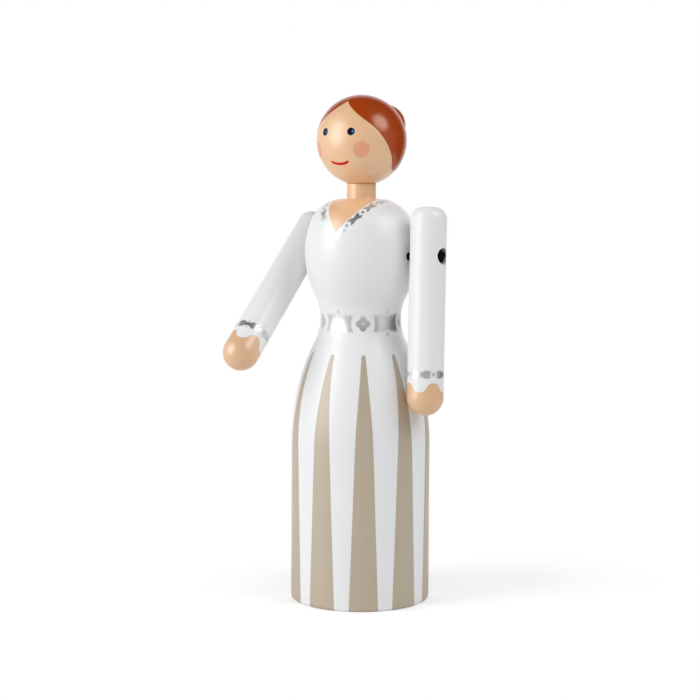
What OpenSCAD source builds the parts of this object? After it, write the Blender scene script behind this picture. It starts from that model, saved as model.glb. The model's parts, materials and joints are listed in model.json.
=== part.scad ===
// Wooden bride doll: a turned body and a ball head, with two arms strung on one elastic cord.
// Sizes are in millimetres. The doll stands on z = 0 and faces -Y, with its left arm on the +X side.

/* [Body] */
// Diameter of the skirt at the foot
base_d = 47; // [42:0.5:54]
// Diameter of the waist
waist_d = 27; // [22:0.5:32]
// Diameter of the bust
bust_d = 37.7; // [33:0.1:42]
// Height of the waist above the floor
waist_h = 95; // [80:1:115]
// Height of the shoulder top above the waist
torso_h = 40; // [36:0.5:46]
// Radius of the hip curve
hip_round = 78; // [60:1:100]
// Radius of the hollow at the waist
waist_round = 16.5; // [12:0.5:22]
// Radius of the bust curve
bust_round = 31; // [26:0.5:38]
// Radius of the shoulder curve
shoulder_round = 12; // [9:0.5:14]
// Radius of the foot's edge
foot_round = 0.8; // [0.2:0.1:2]

/* [Neck and head] */
// Diameter of the neck
neck_d = 9.7; // [8:0.1:13]
// Length of the neck above the shoulder
neck_h = 5.15; // [4:0.05:10]
// Diameter of the ball head
head_d = 30; // [26:0.5:36]
// Diameter of the pin between neck and head
pin_d = 6; // [4:0.5:7]
// Depth of the pin in the neck and body
pin_down = 14; // [10:0.5:20]
// Depth of the pin in the head
pin_up = 10; // [6:0.5:14]

/* [Hair bun] */
// Diameter of the bun
bun_d = 14; // [10:0.5:18]
// Distance of the bun's centre outside the head's surface
bun_out = 0.3; // [-2:0.1:2]
// Angle of the bun above the level through the head's centre
bun_lift = 21; // [0:0.5:45]
// Diameter of the bun's spigot
spigot_d = 5; // [3:0.5:7]
// Length of the bun's spigot in the head
spigot_len = 6; // [4:0.5:8]

/* [Arms] */
// Diameter of an arm
arm_d = 12; // [10:0.5:15]
// Length of an arm
arm_len = 68.2; // [55:0.1:80]
// Distance from the top of an arm down to its pivot
arm_rise = 16.1; // [10:0.1:22]
// Radius of the edge at the top of an arm
arm_top_round = 4; // [1:0.1:5]
// Diameter of the hole that hides a knot
knot_hole_d = 5.4; // [4.8:0.1:7]
// Depth of the hole that hides a knot
knot_hole_depth = 5.4; // [4.6:0.1:7]
// Forward swing of the left arm as it is shown
left_swing = 4.5; // [0:0.5:180]
// Forward swing of the right arm as it is shown
right_swing = 46; // [0:0.5:180]
// Turn of the left arm's axis that brings the arm inward as it swings forward
left_toe_in = 0; // [0:0.1:5]
// Turn of the right arm's axis that brings the arm inward as it swings forward
right_toe_in = 3.6; // [0:0.1:5]

/* [Cord] */
// Diameter of the elastic cord
cord_d = 2.4; // [1.6:0.1:2.8]
// Distance of the cord below the widest part of the bust
cord_drop = 0.6; // [0:0.1:3]
// Diameter of a knot
knot_d = 4.4; // [4:0.1:4.6]
// Diameter of a knot's flat side, which lies on its washer
knot_flat_d = 3.4; // [3.2:0.1:3.8]
// Thickness of a washer
washer_t = 0.6; // [0.4:0.1:1]

/* [Fits] */
// Gap between the left arm and the body, where the cord shows
left_gap = 1.4; // [0.3:0.05:2]
// Gap between the right arm and the body
right_gap = 0.35; // [0.3:0.05:2]
// Gap between a hanging hand and the skirt
hand_gap = 0.3; // [0.2:0.05:1]
// Gap round the cord in its bores
cord_gap = 0.1; // [0.05:0.01:0.2]
// Running gap between the head and its pin, and between the head and the neck
head_gap = 0.05; // [0.02:0.01:0.1]
// Gap between a knot and its washer
knot_gap = 0.05; // [0.02:0.01:0.1]
// Gap filled by glue
glue_gap = 0.02; // [0.01:0.01:0.05]

/* [Hidden] */
$fn = 96;

wood_white = "whitesmoke";
wood_skin = "burlywood";
wood_bare = "wheat";
hair_red = "sienna";
cord_black = "dimgray";
steel = "silver";

base_r = base_d / 2;
waist_r = waist_d / 2;
bust_r = bust_d / 2;
neck_r = neck_d / 2;
head_r = head_d / 2;
bun_r = bun_d / 2;
arm_r = arm_d / 2;

// Height from one arc's centre to the next: each pair of arcs is tangent, so the step in radius gives it
function arc_rise(radius_step, round_sum) = sqrt(radius_step * (2 * round_sum - radius_step));

// Centres of the four arcs, as [radius, height]
hip_c = [base_r - hip_round, waist_h - arc_rise(base_r - waist_r, hip_round + waist_round)];
waist_c = [waist_r + waist_round, waist_h];
bust_c = [bust_r - bust_round, waist_h + arc_rise(bust_r - waist_r, waist_round + bust_round)];
shoulder_h = waist_h + torso_h;
shoulder_tilt = asin((shoulder_h - shoulder_round - bust_c.y) / (bust_round - shoulder_round));
shoulder_c = bust_c + (bust_round - shoulder_round) * [cos(shoulder_tilt), sin(shoulder_tilt)];

// Points at which the arcs meet
hip_end = hip_c + (waist_c - hip_c) * hip_round / (hip_round + waist_round);
waist_end = waist_c + (bust_c - waist_c) * waist_round / (waist_round + bust_round);
bust_end = bust_c + bust_round * [cos(shoulder_tilt), sin(shoulder_tilt)];

// Radius of a round arc about a centre at height z: bulge 1 is convex, -1 is hollow
function arc_r(centre, radius, bulge, z) = centre.x + bulge * sqrt(radius ^ 2 - (z - centre.y) ^ 2);

// Radius of the body at height z, from the floor up to the bust's upper end
function body_r(z) =
    z < hip_c.y ? base_r
    : z < hip_end.y ? arc_r(hip_c, hip_round, 1, z)
    : z < waist_end.y ? arc_r(waist_c, waist_round, -1, z)
    : arc_r(bust_c, bust_round, 1, z);

// Neck, pin and head
neck_top = shoulder_h + neck_h;
head_seat = neck_top + head_gap;
head_h = head_seat + sqrt(head_r ^ 2 - neck_r ^ 2);
pin_bore_d = pin_d + 2 * head_gap;
pin_glue_d = pin_d + 2 * glue_gap;

// The bun and the head are both cut flat in the plane of the circle in which the two balls would meet
bun_reach = head_r + bun_out;
bun_seat = (bun_reach ^ 2 + head_r ^ 2 - bun_r ^ 2) / (2 * bun_reach);

// Arms: each hangs from a pivot on the cord, in the middle of its gap, with its hand clear of the skirt
arm_h = bust_c.y - cord_drop;
hand_drop = arm_len - arm_rise - arm_r;
// Spacing of the heights at which the skirt is compared with a hanging arm
drop_step = 1;
cord_bore_d = cord_d + 2 * cord_gap;
function side_gap(side) = side > 0 ? left_gap : right_gap;
function pivot_x(side) = bust_r + side_gap(side) / 2;
function side_toe_in(side) = side > 0 ? left_toe_in : right_toe_in;
function hand_slope(side, drop) = (body_r(arm_h - drop) + hand_gap - bust_r - side_gap(side)) / drop;
function side_splay(side) =
    max([0, for (drop = [hand_drop : -drop_step : arm_d]) atan(hand_slope(side, drop))]);

// Stations along the cord, measured outward from a pivot
function arm_mid(side) = side_gap(side) / 2 + arm_r;
function washer_in(side) = arm_mid(side) + arm_r - knot_hole_depth;
function knot_in(side) = washer_in(side) + washer_t + knot_gap;
function knot_mid(side) = knot_in(side) + sqrt(knot_d ^ 2 - knot_flat_d ^ 2) / 2;
washer_d = knot_hole_d - 2 * cord_gap;
// The cord bends at a pivot, in a ball that is a little thicker than the straight stretches that end in it
bend_d = cord_d + cord_gap;
bend_short = cord_gap;

// Extra length that carries a cut past the face it opens
past = 1;
// Length by which a band of a section laps into its neighbour
lap = 1;

// The part of a disc between two heights, on the positive side of the axis and no wider than width
module disc_band(centre, radius, from, to, width) {
    intersection() {
        translate(centre) circle(radius);
        translate([0, from]) square([width, to - from]);
    }
}

// Half of the body's section, as radius and height: the convex bands lap into their neighbours
module body_section() {
    square([base_r - foot_round, hip_c.y]);
    translate([0, foot_round]) square([base_r, hip_c.y - foot_round]);
    translate([base_r - foot_round, foot_round]) circle(foot_round);
    disc_band(hip_c, hip_round, hip_c.y - lap, hip_end.y + lap, base_r);
    difference() {
        translate([0, hip_end.y]) square([max(hip_end.x, waist_end.x), waist_end.y - hip_end.y]);
        translate(waist_c) circle(waist_round);
    }
    disc_band(bust_c, bust_round, waist_end.y - lap, bust_end.y, bust_r);
    disc_band(shoulder_c, shoulder_round, bust_end.y - lap, shoulder_h, bust_r);
    translate([0, bust_end.y - lap]) square([shoulder_c.x, shoulder_h - bust_end.y + lap]);
    translate([0, shoulder_h - lap]) square([neck_r, neck_h + lap]);
}

module body() {
    color(wood_white)
    difference() {
        rotate_extrude() body_section();
        translate([0, 0, neck_top - pin_down]) cylinder(h = pin_down + past, d = pin_glue_d);
        translate([0, 0, arm_h]) rotate([0, 90, 0])
            cylinder(h = bust_d + 2 * past, d = cord_bore_d, center = true);
    }
}

module neck_dowel() {
    color(wood_bare)
    translate([0, 0, neck_top - pin_down]) cylinder(h = pin_down + pin_up, d = pin_d);
}

// Places its children in the bun's frame: the head's centre is the origin and +Z points out through the bun
module at_bun() {
    translate([0, 0, head_h]) rotate([bun_lift - 90, 0, 0]) children();
}

module head() {
    color(wood_skin)
    difference() {
        translate([0, 0, head_h]) sphere(head_r);
        translate([0, 0, head_seat - head_r]) cylinder(h = head_r, r = head_r);
        translate([0, 0, head_seat - past]) cylinder(h = pin_up + past, d = pin_bore_d);
        at_bun() translate([0, 0, bun_seat]) cylinder(h = head_r, r = head_r);
        at_bun() translate([0, 0, bun_seat - spigot_len]) cylinder(h = head_r, d = spigot_d + 2 * glue_gap);
    }
}

module hair_bun() {
    color(hair_red)
    at_bun() {
        difference() {
            translate([0, 0, bun_reach]) sphere(bun_r);
            translate([0, 0, bun_seat + glue_gap - bun_d]) cylinder(h = bun_d, r = bun_d);
        }
        translate([0, 0, bun_seat - spigot_len + glue_gap]) cylinder(h = spigot_len + past, d = spigot_d);
    }
}

// Half of an arm's section, with the pivot at the origin
module arm_section() {
    shoulder = arm_rise - arm_top_round;
    translate([0, -hand_drop]) square([arm_r, hand_drop + shoulder]);
    translate([0, shoulder - lap]) square([arm_r - arm_top_round, arm_top_round + lap]);
    disc_band([arm_r - arm_top_round, shoulder], arm_top_round, shoulder - lap, arm_rise, arm_r);
    disc_band([0, -hand_drop], arm_r, -hand_drop - arm_r, -hand_drop + lap, arm_r);
}

// Places its children at a pivot, with +X or -X pointing outward along the arm's bore: side 1 is the left
module at_pivot(side) {
    translate([side * pivot_x(side), 0, arm_h])
        rotate([0, 0, -side * side_toe_in(side)])
        rotate([0, -side * side_splay(side), 0])
        children();
}

// Places its children on an arm's bore, with +Z pointing outward from the pivot
module along_bore(side) {
    at_pivot(side) rotate([0, side * 90, 0]) children();
}

module arm(side, swing) {
    color(wood_white)
    difference() {
        at_pivot(side) rotate([-swing, 0, 0]) translate([side * arm_mid(side), 0, 0])
            rotate_extrude() arm_section();
        along_bore(side) cylinder(h = arm_mid(side) + arm_d, d = cord_bore_d);
        along_bore(side) translate([0, 0, washer_in(side)]) cylinder(h = arm_d, d = knot_hole_d);
    }
}

module left_arm() {
    arm(1, left_swing);
}

module right_arm() {
    arm(-1, right_swing);
}

// Half of a knot's section, with the pivot at the origin: a ball cut flat where it lies on its washer
module knot_section(side) {
    disc_band([0, knot_mid(side)], knot_d / 2, knot_in(side), knot_in(side) + knot_d, knot_d);
}

module shoulder_cord() {
    color(cord_black) {
        translate([-pivot_x(-1) + bend_short, 0, arm_h]) rotate([0, 90, 0])
            cylinder(h = pivot_x(-1) + pivot_x(1) - 2 * bend_short, d = cord_d);
        for (side = [-1, 1]) {
            at_pivot(side) sphere(d = bend_d);
            along_bore(side) translate([0, 0, bend_short])
                cylinder(h = knot_mid(side) - bend_short, d = cord_d);
            along_bore(side) rotate_extrude() knot_section(side);
        }
    }
}

module cord_washer(side) {
    color(steel)
    along_bore(side) translate([0, 0, washer_in(side)])
        difference() {
            cylinder(h = washer_t, d = washer_d);
            translate([0, 0, -past]) cylinder(h = washer_t + 2 * past, d = cord_bore_d);
        }
}

module left_cord_washer() {
    cord_washer(1);
}

module right_cord_washer() {
    cord_washer(-1);
}

body();
neck_dowel();
head();
hair_bun();
left_arm();
right_arm();
shoulder_cord();
left_cord_washer();
right_cord_washer();
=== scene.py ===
import json
from bisect import bisect_right
from math import asin, atan2, cos, degrees, hypot, pi, radians, sin, sqrt, tanh, tau

import bmesh
import bpy
from bpy.props import FloatProperty, FloatVectorProperty, IntProperty, PointerProperty
from bpy.types import Operator, Panel, PropertyGroup
from mathutils import Matrix, Vector


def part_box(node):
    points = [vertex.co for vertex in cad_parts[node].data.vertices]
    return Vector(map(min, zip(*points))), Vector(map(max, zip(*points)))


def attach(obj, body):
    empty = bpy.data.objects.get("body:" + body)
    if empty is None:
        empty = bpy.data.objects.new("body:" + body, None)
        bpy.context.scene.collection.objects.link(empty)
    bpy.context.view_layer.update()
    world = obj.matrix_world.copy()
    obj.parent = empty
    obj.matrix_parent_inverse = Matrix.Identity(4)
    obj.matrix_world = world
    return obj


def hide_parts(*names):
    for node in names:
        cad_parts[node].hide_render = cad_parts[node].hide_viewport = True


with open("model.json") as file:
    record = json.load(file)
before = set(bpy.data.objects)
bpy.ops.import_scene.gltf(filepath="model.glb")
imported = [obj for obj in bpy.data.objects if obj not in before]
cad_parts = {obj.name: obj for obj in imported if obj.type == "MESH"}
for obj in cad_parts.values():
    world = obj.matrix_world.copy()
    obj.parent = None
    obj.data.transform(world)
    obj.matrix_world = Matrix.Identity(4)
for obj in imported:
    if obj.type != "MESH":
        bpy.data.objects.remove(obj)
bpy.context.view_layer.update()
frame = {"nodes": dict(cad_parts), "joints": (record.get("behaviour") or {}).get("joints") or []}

bl_info = {
    "name": "Wooden Bride Doll",
    "version": (1, 0, 0),
    "blender": (4, 5, 0),
    "location": "3D View > Sidebar > Doll",
    "description": "Paints and dresses a turned wooden bride doll round its solid model",
    "category": "Object",
}

MM = 0.001
UP = Vector((0, 0, 1))
SIDE_NAMES = {1: "left", -1: "right"}

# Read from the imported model
JOINTS = {joint["name"]: joint for joint in frame["joints"]}
SWINGS = {side: JOINTS[f"{name}_arm_swing"] for side, name in SIDE_NAMES.items()}
PIVOTS = {side: Vector(swing["pos_m"]) for side, swing in SWINGS.items()}
BORES = {side: -Vector(swing["axis"]) for side, swing in SWINGS.items()}
BODY_LOW, BODY_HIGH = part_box("body")
HEAD_LOW, HEAD_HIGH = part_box("head")
BASE_R = (BODY_HIGH.x - BODY_LOW.x) / 2
NECK_TOP = BODY_HIGH.z
HEAD_SEAT = HEAD_LOW.z
HEAD_R = (HEAD_HIGH.x - HEAD_LOW.x) / 2
HEAD_C = Vector((0, 0, HEAD_HIGH.z - HEAD_R))

# Turned shape of the body: the same arcs as the solid's
WAIST_R = 13.5 * MM
BUST_R = 18.85 * MM
WAIST_H = 95 * MM
SHOULDER_H = 135 * MM
HIP_ROUND = 78 * MM
WAIST_ROUND = 16.5 * MM
BUST_ROUND = 31 * MM
SHOULDER_ROUND = 12 * MM
FOOT_ROUND = 0.8 * MM
NECK_R = 4.85 * MM
NECK_FILLET = 0.4 * MM
EDGE_BREAK = 0.2 * MM
SEAT_SINK = 0.04 * MM
PIN_GLUE_R = 3.02 * MM
PIN_BORE_R = 3.05 * MM
PIN_DOWN = 14 * MM
PIN_UP = 10 * MM
CORD_R = 1.2 * MM
CORD_BORE_R = 1.3 * MM
# Faces of the body below this height are its bare foot
FOOT_FLAT = 0.02 * MM

# Hair bun, along its own axis from the head's middle
BUN_R = 7 * MM
BUN_REACH = 15.3 * MM
BUN_LIFT = radians(21)
BUN_SEAT = (BUN_REACH ** 2 + HEAD_R ** 2 - BUN_R ** 2) / (2 * BUN_REACH)
SPIGOT_R = 2.5 * MM
SPIGOT_LEN = 6 * MM
GLUE_GAP = 0.02 * MM

# Arms, with the bore at height zero
ARM_R = 6 * MM
ARM_RISE = 16.1 * MM
HAND_DROP = 46.1 * MM
ARM_TOP_ROUND = 4 * MM
KNOT_HOLE_R = 2.7 * MM
KNOT_HOLE_DEPTH = 5.4 * MM
HOLE_FLOOR = ARM_R - KNOT_HOLE_DEPTH
ARM_MIDS = {1: 6.7 * MM, -1: 6.175 * MM}
REST_SWINGS = {1: radians(4.5), -1: radians(46)}
# Half the height of the finer rows beside the bore
ARM_FINE = 4 * MM

# Washers and knots. The knot's line is given in shares of its radius, with its weaves in a round
WASHER_T = 0.6 * MM
WASHER_R = 2.6 * MM
WASHER_SOFT = 0.12 * MM
KNOT_R = 2.4 * MM
KNOT_MID = 3.5 * MM
KNOT_REACH = 0.42
KNOT_SWAY = 0.22
KNOT_RISE = 0.52
KNOT_WEAVES = 1.5
KNOT_CORD = 0.44
KNOT_STEPS = 144
# Share of the knot's radius that the cord reaches past the washer
CORD_PAST = 0.6
CORD_STEPS = 20
CORD_END_SHARES = (1, 0.75, 0.5, 0.25, 0.1)
TUBE_TIP = 0.35

# How finely the pieces are cut. A window is half the height of the patch drawn anew round a bore's end
BODY_SEGMENTS = 256
HEAD_SEGMENTS = 160
STICK_SEGMENTS = 96
WASHER_SEGMENTS = 48
BODY_WINDOW = 2.6 * MM
ARM_WINDOW = 3.7 * MM
BORE_LIP = 0.15 * MM
HOLE_LIP = 0.22 * MM
RING_SHARES = (0.3, 0.6, 0.85, 1.0)
LIP_STEPS = (30, 60, 90)
SHARP_FOLD = 35

# Paint and foil reach a little into the wood below them, so that no gap shows
SINK = 0.1 * MM
STRIPE_SINK = 0.15 * MM

# Half-width of a stripe by height, in millimetres
STRIPE = ((0, 4.88), (28, 3.88), (57, 2.86), (67, 2.13), (77, 1.22), (86, 0.46))
STRIPE_FOOT = 0.06 * MM
STRIPE_TIP = 0.62 * MM
STRIPE_ROWS = 104
# Share of a stripe's rows that lie on the foot's rounded edge
FOOT_SHARE = 8 / STRIPE_ROWS
# The other rows lie closer together towards the tip
TIP_CROWDING = 1.25

# Radius of the neckline's edge and of its trim, by the turn from its point, in degrees and millimetres
NECKLINE = (
    (0, 17.86), (4, 17.48), (7, 17.15), (10, 16.75), (13.1, 16.22), (16.7, 15.55), (20.7, 14.75),
    (25.8, 13.7), (32.3, 12.35), (39, 11.15), (50, 9.6), (62, 8.45), (80, 7.6), (110, 7.0), (180, 6.8))
TRIM = (
    (0, 18.64), (6.6, 18.05), (13.8, 17.25), (21.8, 16.25), (30, 14.75), (39.5, 13.05), (51, 11.5),
    (60.2, 10.6), (80, 9.6), (110, 9.0), (180, 8.8))
NECKLINE_FLOOR = 118 * MM
NECK_FOOT_R = 6.6 * MM
NECK_SHARE = 0.4
NECKLINE_CROWDING = 1.5
TRIM_STEPS = 240
TRIM_SPACING = 7.1 * MM

# A quarter of the trim's bow about its middle, and its bead as a place and two half-widths, in millimetres
BOW = ((1.7, 0), (2.05, 0.32), (2.5, 0.6), (2.3, 0.98), (1.7, 1.08), (1.1, 0.98), (0.6, 0.76), (0, 0.64))
BOW_PLACE = 4.4
BEAD = (7.9, 0, 0.55, 0.5)
POINT_FLOWER_R = 1.35
POINT_FLOWER_EYE = 0.2
PETAL_WAIST = 0.71
PETAL_POWER = 1.2
PETAL_STRETCH = 1.06

# Angle of the hairline above the head's middle, by the turn from the parting, in degrees
HAIRLINE = (
    (0, 57.6), (13, 46), (25, 35.4), (34, 28), (45, 19.6), (54.5, 11.2), (67, -4.4), (78, -21),
    (90, -37.6), (105, -42), (140, -43), (180, -43))
HAIRLINE_CROWDING = 1.3
EYE_DOME = 0.06 * MM
SCALLOP_STEEPNESS = 1.5

# Finishes. The pith is the middle of the growth rings, beside the piece
WHITE = (1, 1, 1, 1)
WARM = (1.0, 0.86, 0.66, 1)
TOOL_PITCH = 0.62 * MM
RING_PITCH = 1.5 * MM
BODY_PITH = (0.012, 0.019, 0.0)
ARM_PITH = Vector((0.009, 0.013, 0))
BRAID_THREADS = 8
BRAID_SLANT = 1.6
# Place in the eye's map of the pale dot painted as a highlight
EYE_PAINTED_HIGHLIGHT = (0.7, 0.5, 0)

# Camera and lamps. A lamp has its turn from the doll's front and its rise, then distance, width and height
LENS = 85.0
SENSOR = 36.0
KEY_LAMP = (radians(-33), radians(18), 0.75, 0.52, 0.7)
FILL_LAMP = (radians(95), radians(42), 0.8, 0.46, 0.5)
LAMP_AIM = Vector((0, 0, 0.1))
SEEN_RAYS = ("Is Camera Ray", "Is Glossy Ray", "Is Transmission Ray")
# Cosines of the angles from straight ahead between which the backdrop fades in
BACKDROP_EDGE = (0.7, 0.86)
# Cosines of the angles from straight ahead between which the room's rear goes dark in reflections
REAR_EDGE = (-0.2, 0.3)
# Sines of the heights between which the room's top goes dark in reflections
TOP_EDGE = (0.15, 0.55)
# Cosines of the angles from the left between which the sheen fades in
SHEEN_EDGE = (0.5, 0.85)

# Floor. Its shadow is kept about a place on the right and fades out between two distances from there
FLOOR_HALF = 0.32
FLOOR_DROP = 0.05 * MM
FLOOR_PAPER = (0.86, 0.86, 0.86, 1)
FLOOR_GLOW = 0.29
SHADOW_ASIDE = 0.028
SHADOW_FADE = (0.035, 0.09)
# The floor is open under the doll's foot, so that light from below reaches the bare wood there
FOOT_OPENING = BASE_R - FOOT_ROUND - 0.1 * MM


def srgb(red, green, blue):
    """A colour written as three numbers up to 255, made linear."""
    def linear(value):
        share = value / 255
        return share / 12.92 if share <= 0.04045 else ((share + 0.055) / 1.055) ** 2.4

    return linear(red), linear(green), linear(blue)


def length(name, millimetres, description):
    return FloatProperty(
        name=name, description=description, default=millimetres * MM, unit="LENGTH", precision=5)


def angle(name, turn, description):
    return FloatProperty(name=name, description=description, default=radians(turn), subtype="ANGLE")


def colour(name, values, description):
    return FloatVectorProperty(
        name=name, description=description, default=srgb(*values), subtype="COLOR", size=3, min=0, max=1)


def level(name, default, description):
    return FloatProperty(name=name, description=description, default=default, min=0)


def count(name, default, least, description):
    return IntProperty(name=name, description=description, default=default, min=least)


class DollSizes(PropertyGroup):
    """Sizes of the paint and the foil."""
    paint: length("Paint Thickness", 0.04, "Thickness of a coat of paint on the white ground")
    foil: length("Foil Thickness", 0.03, "Thickness of the silver foil")
    stripes: count("Stripes", 10, 3, "Number of stripes round the skirt")
    stripe_turn: angle("Stripe Turn", 0.8, "Turn of the front stripe from straight ahead")
    stripe_top: length("Stripe Top", 84.2, "Height of a stripe's rounded tip")
    belt_flowers: count("Belt Flowers", 5, 3, "Number of flowers round the belt")
    belt_turn: angle("Belt Turn", 36.8, "Turn of the first flower from straight ahead")
    belt_mid: length("Belt Height", 94.2, "Height of the middle of the belt")
    belt_scale: level("Belt Scale", 1.0, "Scale of the belt's lace up and down")
    neckline_turn: angle("Neckline Turn", 2.6, "Turn of the foot of the neckline from straight ahead")
    neckline_lean: angle("Neckline Lean", 0.45, "Turn that the neckline gains with each millimetre of height")
    trim_turn: angle("Trim Turn", -1.8, "Turn of the trim from the neckline's edge")
    cuff_mid: length("Cuff Height", -38.45, "Height of the middle of the cuff's lace, from the arm's bore")
    cuff_flowers: count("Cuff Flowers", 4, 3, "Number of flowers round a cuff")
    cuff_turn: angle("Cuff Turn", 57, "Turn of a cuff's first flower from the arm's front")
    cuff_scale: level("Cuff Scale", 1.0, "Scale of the cuff's lace up and down")
    scallop_mid: length("Scallop Height", -42.75, "Height of the scalloped edge, from the arm's bore")
    scallop_depth: length("Scallop Depth", 1.5, "Half the height of a scallop")
    scallop_turn: angle("Scallop Turn", 12.5, "Turn of a white scallop from the arm's front")
    scallops: count("Scallops", 4, 2, "Number of scallops round a sleeve")
    eye_d: length("Eye Diameter", 2.55, "Diameter of an eye")
    eye_turn: angle("Eye Turn", 20, "Turn of an eye from straight ahead")
    eye_lift: angle("Eye Lift", 9.7, "Angle of an eye above the head's middle")
    cheek_d: length("Cheek Diameter", 5.4, "Diameter of a cheek")
    left_cheek_turn: angle("Left Cheek Turn", 33.3, "Turn of the left cheek from straight ahead")
    right_cheek_turn: angle("Right Cheek Turn", -43.3, "Turn of the right cheek from straight ahead")
    cheek_lift: angle("Cheek Lift", -12.6, "Angle of a cheek above the head's middle")
    mouth_turn: angle("Mouth Turn", 15.2, "Turn of an end of the mouth from straight ahead")
    mouth_mid: angle("Mouth Middle", -31.9, "Angle of the mouth's middle above the head's middle")
    mouth_rise: angle("Mouth Rise", 3.6, "Rise of the mouth's ends above its middle")
    mouth_width: length("Mouth Thickness", 0.96, "Thickness of the mouth's line")


class DollColours(PropertyGroup):
    """Colours of the paint, the foil, the wood and the cord."""
    white: colour("White", (240, 241, 242), "White lacquer of the dress")
    tan: colour("Tan", (189, 173, 151), "Stripes of the skirt")
    skin: colour("Skin", (242, 195, 149), "Face, neck and hands")
    hair: colour("Hair", (177, 67, 0), "Hair in the light")
    hair_deep: colour("Deep Hair", (154, 51, 0), "Hair in its darker flows")
    silver: colour("Silver", (228, 229, 231), "Foil of the belt, the neckline and the cuffs")
    navy: colour("Navy", (2, 9, 28), "Eyes")
    # Lighter blue painted on one side of each eye as a reflection
    blue: colour("Blue", (16, 70, 122), "Lighter side of the eyes")
    # Pale dot painted in each eye as a highlight
    painted_eye_highlight: colour("Glint", (176, 206, 226), "Pale dot in the eyes")
    red: colour("Red", (214, 0, 0), "Mouth")
    pink: colour("Pink", (240, 162, 123), "Cheeks")
    beech: colour("Beech", (222, 188, 146), "Bare wood")
    beech_deep: colour("Deep Beech", (190, 148, 102), "Growth rings of the bare wood")
    # Wood in the arms' holes: grey from the white lacquer's dust, and darkened further as painted shade in
    # the holes
    dusted_shaded_wood: colour("Dusted Wood", (196, 188, 178), "Wood in the arms' holes, dusted by the white lacquer")
    black: colour("Black", (9, 9, 10), "Elastic cord")
    steel: colour("Steel", (188, 189, 190), "Washers")


class DollStage(PropertyGroup):
    """Camera and light."""
    azimuth: angle("Azimuth", 34, "Turn of the camera from the doll's front")
    distance: length("Distance", 554.786, "Level distance of the camera from the doll's axis")
    height: length("Height", 140.143, "Height of the camera")
    aside: length("Aside", -3.604, "Distance of the camera to the right of the line to the doll's axis")
    pitch: angle("Pitch", 5.757, "Angle at which the camera looks down")
    roll: angle("Roll", 0.228, "Turn of the camera about its own axis")
    key: level("Key Light", 3.1, "Power of the tall soft light on the left, in watts")
    fill: level("Fill Light", 2.2, "Power of the high soft light on the right, in watts")
    room: level("Room", 0.475, "Brightness of the room as a light")
    gleam: level("Gleam", 0.4, "Brightness of the room's front in reflections")
    rear_gleam: level("Rear Gleam", 0.02, "Brightness of the room's rear and top in reflections")
    sheen: level("Sheen", 0.8, "Brightness of the room's left side in reflections")
    backdrop: level("Backdrop", 1.0, "Brightness of the backdrop")


# Shapes

class Turning:
    """A turned surface: points of radius and height along a profile, spun about the Z axis.
    A turn of zero is the front, and run is the distance along the profile."""

    def __init__(self, points):
        self.points = [Vector(point) for point in points]
        self.runs = [0.0]
        for here, there in zip(self.points, self.points[1:]):
            self.runs.append(self.runs[-1] + (there - here).length)
        faces = [(there - here).normalized() for here, there in zip(self.points, self.points[1:])]
        self.normals = []
        for before, after in zip(faces[:1] + faces, faces + faces[-1:]):
            along = before + after
            self.normals.append(Vector((along.y, -along.x)).normalized())

    def at(self, run):
        """Radius and height at a run, and the outward normal there."""
        run = min(max(run, 0.0), self.runs[-1])
        index = min(bisect_right(self.runs, run), len(self.runs) - 1)
        step = self.runs[index] - self.runs[index - 1]
        share = (run - self.runs[index - 1]) / step if step else 0.0
        place = self.points[index - 1].lerp(self.points[index], share)
        return place, self.normals[index - 1].lerp(self.normals[index], share).normalized()

    def place(self, turn, run, lift=0.0):
        """A point in space at a turn and a run, lifted off the surface."""
        (radius, height), (out, up) = self.at(run)
        radius += lift * out
        return Vector((radius * sin(turn), -radius * cos(turn), height + lift * up))

    def find(self, value, axis, start=0.0):
        """The first run after start at which the radius (axis 0) or the height (axis 1) passes a value."""
        for index in range(1, len(self.points)):
            if self.runs[index] <= start:
                continue
            here, there = self.points[index - 1][axis], self.points[index][axis]
            if here != there and min(here, there) <= value <= max(here, there):
                share = (value - here) / (there - here)
                return self.runs[index - 1] + share * (self.runs[index] - self.runs[index - 1])
        raise ValueError(f"the profile never passes {value}")


def arc(centre, radius, start, end, steps):
    """Points on an arc between two angles in degrees, both ends among them."""
    angles = [radians(start + (end - start) * step / steps) for step in range(steps + 1)]
    return [(centre[0] + radius * cos(turn), centre[1] + radius * sin(turn)) for turn in angles]


def profile(start, *stretches):
    """A turning drawn from its start. A stretch is a line, as its end and steps, or an arc that starts
    where the last stretch ended, as its centre, radius, two angles and steps."""
    points = [start]
    for stretch in stretches:
        if len(stretch) == 2:
            here, (end, steps) = Vector(points[-1]), stretch
            points += [here.lerp(Vector(end), step / steps) for step in range(1, steps + 1)]
        else:
            points += arc(*stretch)[1:]
    return Turning(points)


def smooth_through(nodes, at):
    """A smooth curve through (x, y) nodes, read at one x."""
    if at <= nodes[0][0]:
        return nodes[0][1]
    if at >= nodes[-1][0]:
        return nodes[-1][1]
    slopes = []
    for index in range(len(nodes)):
        before, after = nodes[max(index - 1, 0)], nodes[min(index + 1, len(nodes) - 1)]
        slopes.append((after[1] - before[1]) / (after[0] - before[0]))
    index = next(i for i in range(1, len(nodes)) if nodes[i][0] >= at)
    (x0, y0), (x1, y1) = nodes[index - 1], nodes[index]
    width = x1 - x0
    t = (at - x0) / width
    return (
        (2 * t ** 3 - 3 * t ** 2 + 1) * y0 + (t ** 3 - 2 * t ** 2 + t) * width * slopes[index - 1]
        + (3 * t ** 2 - 2 * t ** 3) * y1 + (t ** 3 - t ** 2) * width * slopes[index])


def fanned(column, crowding):
    """A turn of half a circle each way for a share of 0 to 1, with the columns closer at the front."""
    share = 2 * column - 1
    return pi * abs(share) ** crowding * (1 if share > 0 else -1)


def face(bm, *corners):
    """A face between its corners, with corners that are the same left out."""
    ring = list(dict.fromkeys(corners))
    if len(ring) > 2:
        bm.faces.new(ring)


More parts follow.
